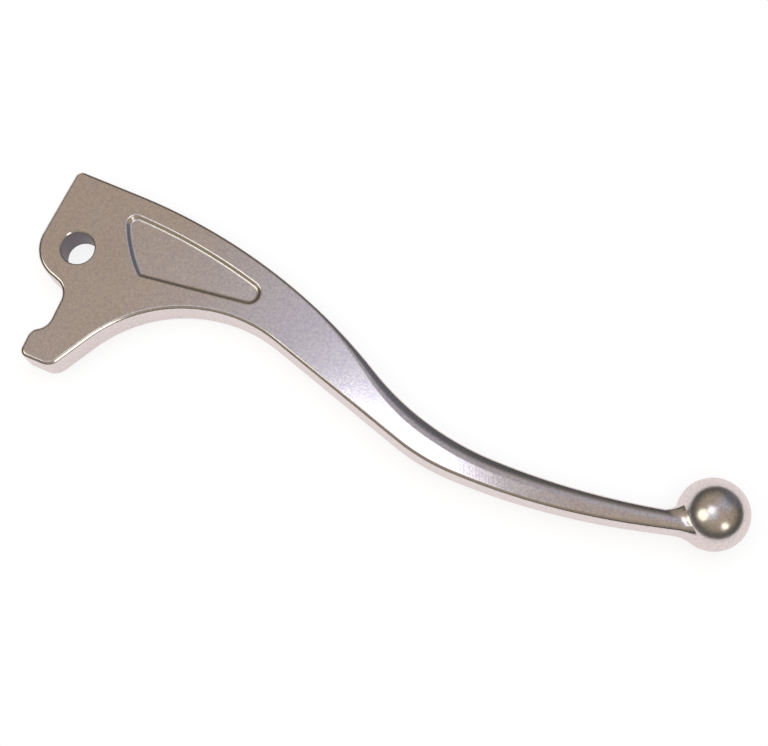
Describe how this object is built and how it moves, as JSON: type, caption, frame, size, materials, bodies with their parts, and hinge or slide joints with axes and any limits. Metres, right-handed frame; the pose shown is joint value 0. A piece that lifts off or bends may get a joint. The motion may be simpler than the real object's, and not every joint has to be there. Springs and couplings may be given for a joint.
{
  "type": "motorcycle clutch lever",
  "caption": "Polished cast lever blade with a pivot bore, a short piston tongue, a wing-shaped recess in the head and a ball end.",
  "frame": {"origin": "on the pivot bore's axis, half way through the plate", "axes": "+X along the blade towards the ball end, +Y to the finger side, +Z along the bore, out of the recessed front face"},
  "size_m": [0.1773, 0.0464, 0.0168],
  "materials": {
    "polished_aluminium": "polished casting"
  },
  "bodies": {
    "root": {"lever": "polished_aluminium"}
  },
  "joints": []
}
